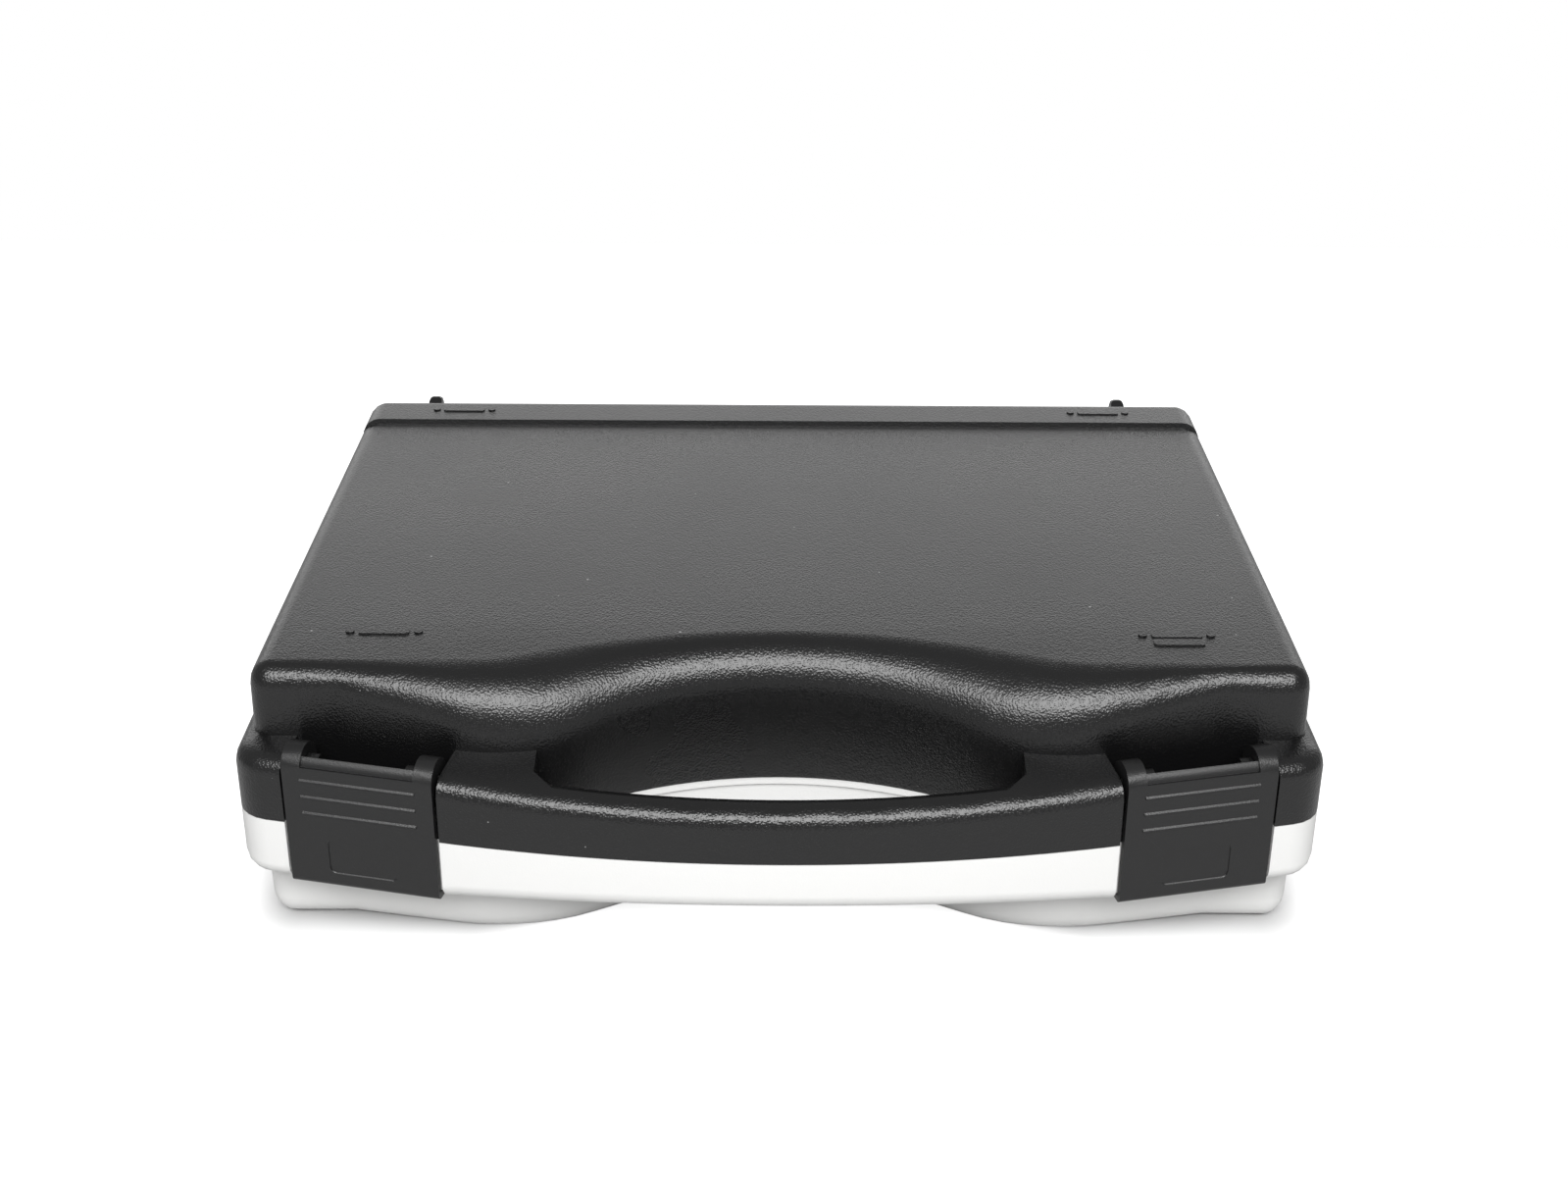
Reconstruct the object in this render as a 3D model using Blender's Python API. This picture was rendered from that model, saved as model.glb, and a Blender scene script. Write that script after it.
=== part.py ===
"""Laptop hard case of two moulded shells.

A black lid and a natural white base meet at a parting plane half way up. Both carry a stepped rim
which swells forward at the front into a handle, one half on each shell, with a finger hole behind
it. Two latches hang on rods in bays of the lid's rim and hook under the base's rim. The shells
are hinged at the back on two pins. Foam liners hold the laptop.

The case lies flat with its handle towards -Y. The origin is at the middle of the ground that it
covers. Shell coordinates, used while a shell is built, have the parting plane at z = 0, the front
wall's ends at y = 0 and the shell's outside at +z; the base is the same form turned over.
"""

import math

import bmesh
import bpy
from mathutils import Matrix, Vector
from mathutils.geometry import convex_hull_2d

MM = 0.001

# Body of the case, the same for both shells
BODY_WIDTH = 390.4 * MM
BODY_LENGTH = 274 * MM
SHELL_HEIGHT = 54 * MM
WALL = 2.8 * MM
CEILING = 3 * MM
BODY_CORNER = 9.5 * MM
EDGE_FILLET = 9 * MM
DRAFT = 0.8 * MM

# Front wall: flat ends, flanks leaning forward to a shoulder, and a scallop for the hand
FLANK_INSET = 32.2 * MM
SHOULDER_RADIUS = 68 * MM
SCALLOP_DEPTH = 16.7 * MM
SCALLOP_RADIUS = 136 * MM
SCALLOP_TOP_DEPTH = 33.6 * MM
SCALLOP_TOP_RADIUS = 215 * MM
SCALLOP_TOP_BLEND = 4 * MM
BASE_FILLET_SWELL = 3.5 * MM
BASE_SWELL_RUN = 80 * MM

# Stepped rim round both shells
RIM_SIDE = 4.8 * MM
RIM_BACK = 4 * MM
RIM_HEIGHT = 25.5 * MM
RIM_EDGE = 6.5 * MM
RIM_CORNER = 15 * MM
RIM_BACK_CORNER = 11 * MM
RIM_TILT = math.radians(12.85)
RIM_WALL = 3 * MM
DECK_RISE = 1.4 * MM
DECK_INSET = 3 * MM
HOLLOW_START = 24 * MM
HOLLOW_CORNER = 8 * MM

# Handle, half of it on each shell, and the finger hole behind it
HANDLE_REACH = 43.4 * MM
HANDLE_BOW = 560 * MM
HANDLE_DEPTH = 15.4 * MM
HANDLE_HEIGHT = 21 * MM
HANDLE_EDGE = 7.6 * MM
HOLE_END_WALL = 33.4 * MM
HOLE_END_TAPER = 6 * MM
HOLE_BEHIND = 6 * MM
HANDLE_SKIN = 3.2 * MM
HANDLE_WEB = 2 * MM
HANDLE_POCKETS = 8
HANDLE_POCKET_INSET = 12 * MM

# Joint between the shells
PARTING_GAP = 0.3 * MM
FIT = 0.3 * MM
TONGUE = 1.2 * MM
TONGUE_HEIGHT = 3 * MM
LIP = 1.2 * MM
LIP_HEIGHT = 2 * MM

# Sunk panel of the lid, level with the front strip and a step below the rear one
PANEL_START = 40.6 * MM
PANEL_END_INSET = 28 * MM
PANEL_DEPTH = 2.2 * MM
PANEL_RISER = 1.6 * MM

# Raised marks on the lid: a bar between two discs near each corner
MARK_SIDE_INSET = 46.9 * MM
MARK_FRONT_INSET = 30.9 * MM
MARK_REAR_INSET = 16 * MM
MARK_HEIGHT = 0.6 * MM
MARK_BAR = 19 * MM
MARK_BAR_WIDTH = 4.6 * MM
MARK_DISC_X = 12.8 * MM
MARK_DISC_RADIUS = 1.7 * MM
MARK_SECOND_BAR = 6.2 * MM

# Latches and the bays that they sit in
LATCH_INSET = 43.4 * MM
LATCH_WIDTH = 57.5 * MM
LATCH_PROUD = 0.8 * MM
LATCH_PLATE = 2.6 * MM
LATCH_PIVOT_DEPTH = 7 * MM
LATCH_PIVOT_HEIGHT = 22.6 * MM
LATCH_CREST = math.radians(48)
LATCH_FOOT = 24.9 * MM
LATCH_FOOT_ROUND = 2 * MM
LATCH_HOOK = 5 * MM
LATCH_EAR = 7.2 * MM
LATCH_DIP = 1.1 * MM
LATCH_CROWN = 0.3 * MM
LATCH_DIP_START = 24.4 * MM
LATCH_LINES = 3
LATCH_LINE_TOP = 19.4 * MM
LATCH_LINE_PITCH = 6.8 * MM
LATCH_LINE_LENGTH = 44 * MM
LATCH_LINE_WIDTH = 1.2 * MM
LATCH_LINE_HEIGHT = 0.6 * MM
BADGE_WIDTH = 26.4 * MM
BADGE_TOP = -4.6 * MM
BADGE_HEIGHT = 14 * MM
BADGE_CORNER = 2 * MM
BADGE_DEPTH = 0.4 * MM
BAY_SIDE_GAP = 1.2 * MM
BAY_BACK_GAP = 0.4 * MM
BAY_FRONT_WALL = 3 * MM
BAY_FRONT_HEIGHT = 13.5 * MM
BAY_FLOOR = 4 * MM
HOOK_GAP = 0.5 * MM
LUG_WIDTH = 4.6 * MM
LUG_RADIUS = 3.6 * MM
ROD_RADIUS = 1.5 * MM

# Hinges at the back
HINGE_INSET = 90.2 * MM
KNUCKLES = 5
KNUCKLE_LENGTH = 11 * MM
KNUCKLE_GAP = 0.5 * MM
KNUCKLE_RADIUS = 4 * MM
KNUCKLE_SWING = 0.4 * MM
KNUCKLE_WEB_LOW = 2 * MM
KNUCKLE_WEB_HIGH = 9.5 * MM
HINGE_PIN_RADIUS = 1.6 * MM

# Rear feet, on which the closed case stands upright
FOOT_INSET = 32.2 * MM
FOOT_SHIFT = -2.2 * MM
FOOT_WIDTH = 6 * MM
FOOT_LOW = 8.6 * MM
FOOT_TOP_INSET = 2.6 * MM
FOOT_PAST_KNUCKLE = 1 * MM
FOOT_ROUND = 6 * MM
FOOT_EDGE = 1.6 * MM

# Foam liners
FOAM_GAP = 0.3 * MM
FOAM_SIDE_GAP = 0.6 * MM
BASE_FOAM_HEIGHT = 40 * MM
LID_FOAM_HEIGHT = 28 * MM
RECESS_SIDE = 23.2 * MM
RECESS_BACK = 15 * MM
RECESS_FRONT = 39 * MM
RECESS_DEPTH = 28 * MM
RECESS_CORNER = 12 * MM
SCOOP_RADIUS = 18 * MM

# Fineness of the curved forms, and the overrun of every cutter
FRONT_STEPS = 24
CORNER_STEPS = 5
FILLET_STEPS = 5
INNER_FILLET_STEPS = 3
EDGE_STEPS = 4
ROUND_STEPS = 16
OVERRUN = 3 * MM
EMBED = 1 * MM

# Places that follow from the sizes above
FLANK_START = BODY_WIDTH / 2 - FLANK_INSET
PANEL_END = BODY_LENGTH - PANEL_END_INSET
MARK_X = BODY_WIDTH / 2 - MARK_SIDE_INSET
MARK_REAR_Y = BODY_LENGTH - MARK_REAR_INSET
LATCH_X = BODY_WIDTH / 2 - LATCH_INSET
HINGE_X = BODY_WIDTH / 2 - HINGE_INSET
FOOT_X = BODY_WIDTH / 2 - FOOT_INSET
FOOT_HIGH = SHELL_HEIGHT - FOOT_TOP_INSET
HANDLE_HALF_LENGTH = LATCH_X - LATCH_WIDTH / 2 - BAY_SIDE_GAP
HOLE_HALF_WIDTH = HANDLE_HALF_LENGTH - HOLE_END_WALL
HANDLE_POCKET_SPAN = 2 * (HOLE_HALF_WIDTH - HANDLE_POCKET_INSET)
RIM_HALF_WIDTH = BODY_WIDTH / 2 + RIM_SIDE
RIM_BACK_Y = BODY_LENGTH + RIM_BACK
HINGE_Y = RIM_BACK_Y + KNUCKLE_RADIUS + KNUCKLE_SWING
FOOT_REACH = KNUCKLE_RADIUS + FOOT_PAST_KNUCKLE
OVERALL_DEPTH = HANDLE_REACH + HINGE_Y + FOOT_REACH
FRONT_WALL_Y = HANDLE_REACH - OVERALL_DEPTH / 2
PARTING_Z = SHELL_HEIGHT
LATCH_RADIUS = LATCH_PIVOT_DEPTH + LATCH_PROUD
LATCH_BACK = LATCH_PLATE - LATCH_PROUD
BAY_HALF = LATCH_WIDTH / 2 + BAY_SIDE_GAP
BAY_FACE = LATCH_BACK + BAY_BACK_GAP
CATCH_HEIGHT = LATCH_FOOT - LATCH_PLATE - HOOK_GAP
EAR_INNER = LATCH_WIDTH / 2 - LATCH_EAR
HINGE_LENGTH = KNUCKLES * KNUCKLE_LENGTH + (KNUCKLES - 1) * KNUCKLE_GAP


def material(name, colour, roughness, metallic=0.0):
    """Makes a plain Principled material."""
    made = bpy.data.materials.new(name)
    made.use_nodes = True
    shader = made.node_tree.nodes["Principled BSDF"]
    shader.inputs["Base Color"].default_value = (*colour, 1.0)
    shader.inputs["Roughness"].default_value = roughness
    shader.inputs["Metallic"].default_value = metallic
    return made


def add_object(bm, name, collection, finish=None):
    """Turns a closed bmesh into an object, with its faces pointing outwards."""
    bmesh.ops.recalc_face_normals(bm, faces=bm.faces)
    mesh = bpy.data.meshes.new(name)
    bm.to_mesh(mesh)
    bm.free()
    made = bpy.data.objects.new(name, mesh)
    collection.objects.link(made)
    if finish:
        mesh.materials.append(finish)
    return made


def set_origin(part, point):
    """Moves a part's origin to a point, with its mesh left where it is."""
    part.data.transform(Matrix.Translation(-point))
    part.location = point


def loft(rings, cap_split=()):
    """Skins a stack of closed rings that have as many points each, and caps both ends.

    cap_split lists point numbers on the right half. The last cap is divided there by straight
    lines to the mirrored points, where it isn't flat.
    """
    bm = bmesh.new()
    rows = [[bm.verts.new(point) for point in ring] for ring in rings]
    count = len(rows[0])
    for lower, upper in zip(rows, rows[1:]):
        for i in range(count):
            j = (i + 1) % count
            bm.faces.new((lower[i], lower[j], upper[j], upper[i]))
    bm.faces.new(rows[0])
    top = rows[-1]
    if not cap_split:
        bm.faces.new(top)
        return bm
    first = cap_split[0]
    last = cap_split[-1]
    bm.faces.new([top[i % count] for i in range(-first, first + 1)])
    for a, b in zip(cap_split, cap_split[1:]):
        bm.faces.new((top[a], top[b], top[count - b], top[count - a]))
    bm.faces.new(top[last : count - last + 1])
    return bm


def prism(profile, low, high, axis):
    """Extrudes a flat outline along X or Z."""
    if axis == "X":
        return loft([[Vector((end, p[0], p[1])) for p in profile] for end in (low, high)])
    return loft([[Vector((p[0], p[1], end)) for p in profile] for end in (low, high)])


def arc(centre, radius, start, end, steps):
    """Points along an arc, both ends included."""
    turns = [start + (end - start) * i / steps for i in range(steps + 1)]
    return [(centre[0] + radius * math.cos(a), centre[1] + radius * math.sin(a)) for a in turns]


def rounded_rectangle(x0, y0, x1, y1, radius, steps=CORNER_STEPS):
    """A rectangle's outline with round corners."""
    corners = (
        ((x1 - radius, y0 + radius), -math.pi / 2),
        ((x1 - radius, y1 - radius), 0.0),
        ((x0 + radius, y1 - radius), math.pi / 2),
        ((x0 + radius, y0 + radius), math.pi),
    )
    points = []
    for centre, start in corners:
        points += arc(centre, radius, start, start + math.pi / 2, steps)
    return points


def mirrored(bm):
    """Mirrors a mesh from the right side of the case to the left."""
    bmesh.ops.scale(bm, vec=(-1, 1, 1), verts=bm.verts)
    bmesh.ops.reverse_faces(bm, faces=bm.faces)
    return bm


def on_side(bm, side):
    """Leaves a mesh on the right side, or mirrors it to the left when side is -1."""
    return bm if side > 0 else mirrored(bm)


def settle(bm, turned_over=False):
    """Moves a mesh from shell coordinates to the part's frame."""
    if turned_over:
        bmesh.ops.scale(bm, vec=(1, 1, -1), verts=bm.verts)
        bmesh.ops.reverse_faces(bm, faces=bm.faces)
    bmesh.ops.translate(bm, vec=(0, FRONT_WALL_Y, PARTING_Z), verts=bm.verts)
    return bm


def to_bay(bm):
    """Turns a mesh from a bay's coordinates to shell coordinates, on the right side.

    In a bay, x runs along the rim, y is the depth behind the rim's face and z is the height.
    """
    bm.transform(
        Matrix.Translation((LATCH_X, rim_front(LATCH_X), 0)) @ Matrix.Rotation(RIM_TILT, 4, "Z")
    )
    return bm


def scallop_centre_y():
    """Where the scallop's arc is centred, on the case's middle line."""
    return SCALLOP_DEPTH - SCALLOP_RADIUS


def shoulder_centre():
    """The centre of the arc that touches the flank's line and the scallop's arc."""
    slope = math.tan(RIM_TILT)
    reach = SCALLOP_RADIUS + SHOULDER_RADIUS
    rise = SHOULDER_RADIUS / math.cos(RIM_TILT) - slope * FLANK_START - scallop_centre_y()
    square = 1 + slope**2
    root = math.sqrt((slope * rise) ** 2 - square * (rise**2 - reach**2))
    x = (root - slope * rise) / square
    return x, slope * x + rise + scallop_centre_y()


def body_front(x):
    """The outside of the front wall at the parting plane."""
    x = abs(x)
    centre_x, centre_y = shoulder_centre()
    scallop_end = centre_x * SCALLOP_RADIUS / (SCALLOP_RADIUS + SHOULDER_RADIUS)
    flank_end = centre_x + SHOULDER_RADIUS * math.sin(RIM_TILT)
    if x < scallop_end:
        return scallop_centre_y() + math.sqrt(SCALLOP_RADIUS**2 - x**2)
    if x < flank_end:
        return centre_y - math.sqrt(SHOULDER_RADIUS**2 - (x - centre_x) ** 2)
    return min(0.0, (x - FLANK_START) * math.tan(RIM_TILT))


def flat_front(x):
    """Where the front fillet reaches the shell's flat: a line, dented behind the scallop."""
    dent = SCALLOP_TOP_DEPTH - x**2 / (2 * SCALLOP_TOP_RADIUS)
    gap = dent - EDGE_FILLET
    return EDGE_FILLET + (gap + math.hypot(gap, SCALLOP_TOP_BLEND)) / 2


def flat_front_of_base(x):
    """The same on the base, where the fillet follows the wall and is fuller past the corners."""
    share = min(1.0, (BODY_WIDTH / 2 - BODY_CORNER - abs(x)) / BASE_SWELL_RUN)
    return body_front(x) + EDGE_FILLET + BASE_FILLET_SWELL * share**2


def rim_front(x):
    """The front of the rim: the handle's bow, then straight to the corner."""
    x = abs(x)
    bow_end = HANDLE_BOW * math.sin(RIM_TILT)
    if x < bow_end:
        return HANDLE_BOW - HANDLE_REACH - math.sqrt(HANDLE_BOW**2 - x**2)
    start = HANDLE_BOW * (1 - math.cos(RIM_TILT)) - HANDLE_REACH
    return start + (x - bow_end) * math.tan(RIM_TILT)


def handle_back(x):
    """The back of the handle, which follows its front."""
    inner = HANDLE_BOW - HANDLE_DEPTH
    return HANDLE_BOW - HANDLE_REACH - math.sqrt(inner**2 - x**2)


class Spot:
    """A point of an outline, its outward normal, and whether it is on the front."""

    def __init__(self, x, y, normal, front):
        self.point = Vector((x, y, 0))
        self.normal = Vector((normal[0], normal[1], 0)).normalized()
        self.front = front

    def mirrored(self):
        """The same spot on the left half."""
        return Spot(-self.point.x, self.point.y, (-self.normal.x, self.normal.y), self.front)


def outline(front, tilt, corner, half_width, back, back_corner):
    """A closed outline, counter-clockwise from the middle of the front.

    Every outline has the same count of points, so that any two can be skinned.
    """
    centre_x = half_width - corner
    end_x = centre_x + corner * math.sin(tilt)
    centre_y = front(end_x) + corner * math.cos(tilt)
    spots = []
    for i in range(FRONT_STEPS + 1):
        x = end_x * i / FRONT_STEPS
        step = end_x / FRONT_STEPS / 2
        before = front(max(x - step, -x))
        after = front(min(x + step, end_x))
        run = min(x + step, end_x) - max(x - step, -x)
        normal = (0.0, -1.0) if i == 0 else (after - before, -run)
        spots.append(Spot(x, front(x), normal, True))
    start = tilt - math.pi / 2
    for i in range(1, CORNER_STEPS + 1):
        turn = start + (0.0 - start) * i / CORNER_STEPS
        normal = (math.cos(turn), math.sin(turn))
        x = centre_x + corner * normal[0]
        spots.append(Spot(x, centre_y + corner * normal[1], normal, False))
    for y in (PANEL_START, PANEL_END - PANEL_RISER, PANEL_END):
        spots.append(Spot(half_width, y, (1.0, 0.0), False))
    for i in range(CORNER_STEPS + 1):
        turn = math.pi / 2 * i / CORNER_STEPS
        normal = (math.cos(turn), math.sin(turn))
        x = half_width - back_corner + back_corner * normal[0]
        spots.append(Spot(x, back - back_corner + back_corner * normal[1], normal, False))
    return spots + [spot.mirrored() for spot in reversed(spots[1:])]


def panel_numbers():
    """The numbers of the outline's side points at the panel's ends."""
    first = FRONT_STEPS + CORNER_STEPS + 1
    return first, first + 1, first + 2


def body_outline():
    """The body's outline at the parting plane."""
    return outline(
        body_front, 0.0, BODY_CORNER, BODY_WIDTH / 2, BODY_LENGTH, BODY_CORNER
    )


def rim_outline():
    """The rim's outline."""
    return outline(
        rim_front, RIM_TILT, RIM_CORNER, RIM_HALF_WIDTH, RIM_BACK_Y, RIM_BACK_CORNER
    )


def fillet_run(spot, flat):
    """How far inwards the edge fillet reaches from a spot of the body's outline."""
    if spot.front:
        return Vector((0, flat(spot.point.x) - spot.point.y, 0))
    return -spot.normal * EDGE_FILLET


def body_ring(inset, turn, top, flat, sunk=0.0):
    """A ring of the body: its wall moved in by inset, at an angle up the edge fillet.

    flat gives where the front fillet reaches the shell's flat. The panel between the side points
    is sunk towards its rear end by the given depth.
    """
    ring = []
    first, low, _ = panel_numbers()
    outline_spots = body_outline()
    for number, spot in enumerate(outline_spots):
        number = min(number, len(outline_spots) - number)
        run = fillet_run(spot, flat)
        foot = SHELL_HEIGHT - run.length
        crown = top - (sunk if number == low else 0.0)
        lean = run.normalized() * (run.length - inset) * (1 - math.cos(turn))
        point = spot.point - spot.normal * inset + lean
        point.z = foot + (crown - foot) * math.sin(turn)
        ring.append(point)
    return ring


def flat_ring(spots, inset, z):
    """An outline moved in by inset, at one height."""
    ring = [spot.point - spot.normal * inset for spot in spots]
    for point in ring:
        point.z = z
    return ring


def body_solid(sunk, lip, flat):
    """The outside of a shell's body, with an outer lip along the parting plane if it has one."""
    spots = body_outline()
    start = -OVERRUN / 2
    rings = [flat_ring(spots, 0.0, start)]
    if lip:
        rings = [flat_ring(spots, -lip, start), flat_ring(spots, -lip, LIP_HEIGHT)]
        rings.append(flat_ring(spots, 0.0, LIP_HEIGHT))
    for i in range(FILLET_STEPS + 1):
        turn = math.pi / 2 * i / FILLET_STEPS
        rings.append(body_ring(DRAFT, turn, SHELL_HEIGHT, flat, sunk))
    return loft(rings, panel_numbers() if sunk else ())


def cavity(sunk, flat):
    """The room inside the body's walls, open across the parting plane."""
    spots = body_outline()
    top = SHELL_HEIGHT - CEILING - sunk
    rings = [flat_ring(spots, WALL, -OVERRUN - TONGUE_HEIGHT)]
    for i in range(INNER_FILLET_STEPS + 1):
        turn = math.pi / 2 * i / INNER_FILLET_STEPS
        rings.append(body_ring(WALL, turn, top, flat))
    return loft(rings)


def hollow_outline(growth):
    """The wider room inside the rim, at the sides and the back."""
    side = RIM_HALF_WIDTH - RIM_WALL + growth
    return rounded_rectangle(
        -side, HOLLOW_START - growth, side, RIM_BACK_Y - RIM_WALL + growth, HOLLOW_CORNER + growth
    )


def hollow():
    """The cutter for the wider room inside the rim."""
    return prism(
        hollow_outline(0.0), -OVERRUN - TONGUE_HEIGHT, RIM_HEIGHT - RIM_WALL, "Z"
    )


def parting_cutter():
    """The cutter that trims a shell just short of the parting plane."""
    side = RIM_HALF_WIDTH + OVERRUN
    front = -HANDLE_REACH - OVERRUN
    profile = ((-side, front), (side, front), (side, HINGE_Y), (-side, HINGE_Y))
    return prism(profile, -OVERRUN * 2, PARTING_GAP / 2, "Z")


def seam_prisms(growth, low, high):
    """Two prisms that widen the room at the parting plane by growth, between two heights."""
    spots = body_outline()
    walls = loft([flat_ring(spots, WALL - growth, z) for z in (low, high)])
    return [walls, prism(hollow_outline(growth), low, high, "Z")]


def rim_top(spot):
    """The rim's height at a spot, lower along the handle, and the radius of its edge."""
    if not spot.front or abs(spot.point.x) >= HANDLE_HALF_LENGTH:
        return RIM_HEIGHT, RIM_EDGE
    share = (spot.point.x / HANDLE_HALF_LENGTH) ** 2
    return HANDLE_HEIGHT + (RIM_HEIGHT - HANDLE_HEIGHT) * share, HANDLE_EDGE


def rim_solid():
    """The rim and the handle half in one, with a deck that rises to the body's wall."""
    spots = rim_outline()
    rings = [flat_ring(spots, 0.0, -OVERRUN)]
    for i in range(EDGE_STEPS + 1):
        turn = math.pi / 2 * i / EDGE_STEPS
        ring = []
        for spot in spots:
            height, edge = rim_top(spot)
            point = spot.point - spot.normal * edge * (1 - math.cos(turn))
            point.z = height - edge + edge * math.sin(turn)
            ring.append(point)
        rings.append(ring)
    rings.append(flat_ring(body_outline(), DECK_INSET, RIM_HEIGHT + DECK_RISE))
    return loft(rings)


def finger_hole():
    """The hole behind the handle, flared at its top so that the handle's back edge is round."""
    front = [HOLE_HALF_WIDTH * (i / FRONT_STEPS * 2 - 1) for i in range(FRONT_STEPS + 1)]
    rings = []
    turns = [math.pi / 2 * i / EDGE_STEPS for i in range(EDGE_STEPS + 1)]
    above = DECK_RISE + OVERRUN
    for lift, turn in [(-OVERRUN * 2, None), *((0.0, turn) for turn in turns), (above, turns[-1])]:
        ring = []
        for x in front:
            share = (x / HANDLE_HALF_LENGTH) ** 2
            height = HANDLE_HEIGHT + (RIM_HEIGHT - HANDLE_HEIGHT) * share
            taper = min(1.0, (HOLE_HALF_WIDTH - abs(x)) / HOLE_END_TAPER)
            flare = HANDLE_EDGE * taper * (1 - math.cos(turn or 0.0))
            z = lift if turn is None else height - HANDLE_EDGE * (1 - math.sin(turn)) + lift
            ring.append(Vector((x, handle_back(x) - flare, z)))
        for x in reversed(front[::2]):
            z = lift if turn is None else RIM_HEIGHT - HANDLE_EDGE * (1 - math.sin(turn)) + lift
            ring.append(Vector((x, body_front(x) + HOLE_BEHIND, z)))
        rings.append(ring)
    return loft(rings)


def handle_pockets():
    """The pockets that lighten a handle half from its parting face, with webs between them."""
    pitch = HANDLE_POCKET_SPAN / HANDLE_POCKETS
    made = []
    for i in range(HANDLE_POCKETS):
        x0 = i * pitch - HANDLE_POCKET_SPAN / 2 + HANDLE_WEB / 2
        x1 = x0 + pitch - HANDLE_WEB
        profile = [(x0, rim_front(x0) + HANDLE_SKIN), (x1, rim_front(x1) + HANDLE_SKIN)]
        profile += [(x1, handle_back(x1) - HANDLE_SKIN), (x0, handle_back(x0) - HANDLE_SKIN)]
        made.append(prism(profile, -OVERRUN * 2, HANDLE_HEIGHT - HANDLE_SKIN * 2, "Z"))
    return made


def end_pockets():
    """The pockets of the same kind in the blocks between the finger hole and the bays."""
    made = []
    for side in (-1, 1):
        x0 = HOLE_HALF_WIDTH + HANDLE_SKIN
        x1 = HANDLE_HALF_LENGTH - HANDLE_SKIN
        profile = [(x0, rim_front(x0) + HANDLE_SKIN), (x1, rim_front(x1) + HANDLE_SKIN)]
        profile += [(x1, body_front(x1) - HANDLE_SKIN), (x0, body_front(x0) - HANDLE_SKIN)]
        pocket = prism(profile, -OVERRUN * 2, HANDLE_HEIGHT - HANDLE_SKIN * 2, "Z")
        made.append(on_side(pocket, side))
    return made


def bay_cutter(profile):
    """A cutter as long as a bay, from its section in bay coordinates."""
    return [to_bay(prism(profile, -BAY_HALF, BAY_HALF, "X"))]


def lid_bay_cutters():
    """What a latch bay takes from the lid's rim: its face, and a deep pocket behind a low wall."""
    top = RIM_HEIGHT + DECK_RISE + OVERRUN
    pocket_start = BAY_FACE + BAY_FRONT_WALL
    return bay_cutter(
        (
            (-LATCH_RADIUS, -OVERRUN * 2),
            (BAY_FACE, -OVERRUN * 2),
            (BAY_FACE, BAY_FRONT_HEIGHT),
            (pocket_start, BAY_FRONT_HEIGHT),
            (pocket_start, BAY_FLOOR),
            (HANDLE_REACH, BAY_FLOOR),
            (HANDLE_REACH, top),
            (-LATCH_RADIUS, top),
        )
    )


def base_bay_cutters():
    """What a latch bay takes from the base's rim: its face, and a notch under the catch."""
    low = RIM_HEIGHT + OVERRUN
    notch = LATCH_HOOK + HOOK_GAP
    return bay_cutter(
        (
            (-LATCH_RADIUS, -OVERRUN * 2),
            (BAY_FACE, -OVERRUN * 2),
            (BAY_FACE, CATCH_HEIGHT),
            (notch, CATCH_HEIGHT),
            (notch, low),
            (-LATCH_RADIUS, low),
        )
    )


def pivot_cylinder(radius, x0, x1):
    """A round bar on the latch's axis, in bay coordinates."""
    centre = (LATCH_PIVOT_DEPTH, LATCH_PIVOT_HEIGHT)
    profile = arc(centre, radius, 0.0, math.tau * (ROUND_STEPS - 1) / ROUND_STEPS, ROUND_STEPS - 1)
    return prism(profile, x0, x1, "X")


def lug(x0):
    """A lug of the lid that carries the latch's rod, in bay coordinates."""
    centre = (LATCH_PIVOT_DEPTH, LATCH_PIVOT_HEIGHT)
    profile = arc(centre, LUG_RADIUS, 0.0, math.pi, ROUND_STEPS // 2)
    profile.append((LATCH_PIVOT_DEPTH - LUG_RADIUS, BAY_FLOOR - EMBED))
    profile.append((LATCH_PIVOT_DEPTH + LUG_RADIUS, BAY_FLOOR - EMBED))
    return prism(profile, x0, x0 + LUG_WIDTH, "X")


def knuckle(number):
    """A hinge knuckle with its web to the rim's back, in shell coordinates."""
    x0 = HINGE_X - HINGE_LENGTH / 2 + number * (KNUCKLE_LENGTH + KNUCKLE_GAP)
    root = RIM_BACK_Y - EMBED
    points = arc((HINGE_Y, 0.0), KNUCKLE_RADIUS, 0.0, math.tau, ROUND_STEPS)[:-1]
    points += [(root, KNUCKLE_WEB_LOW), (root, KNUCKLE_WEB_HIGH)]
    profile = [points[i] for i in convex_hull_2d([Vector(p) for p in points])]
    return prism(profile, x0, x0 + KNUCKLE_LENGTH, "X")


def hinge_bar(radius, length):
    """A round bar on the hinge's axis, for the pin and its bore."""
    profile = arc((HINGE_Y, 0.0), radius, 0.0, math.tau, ROUND_STEPS)[:-1]
    return prism(profile, HINGE_X - length / 2, HINGE_X + length / 2, "X")


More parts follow.
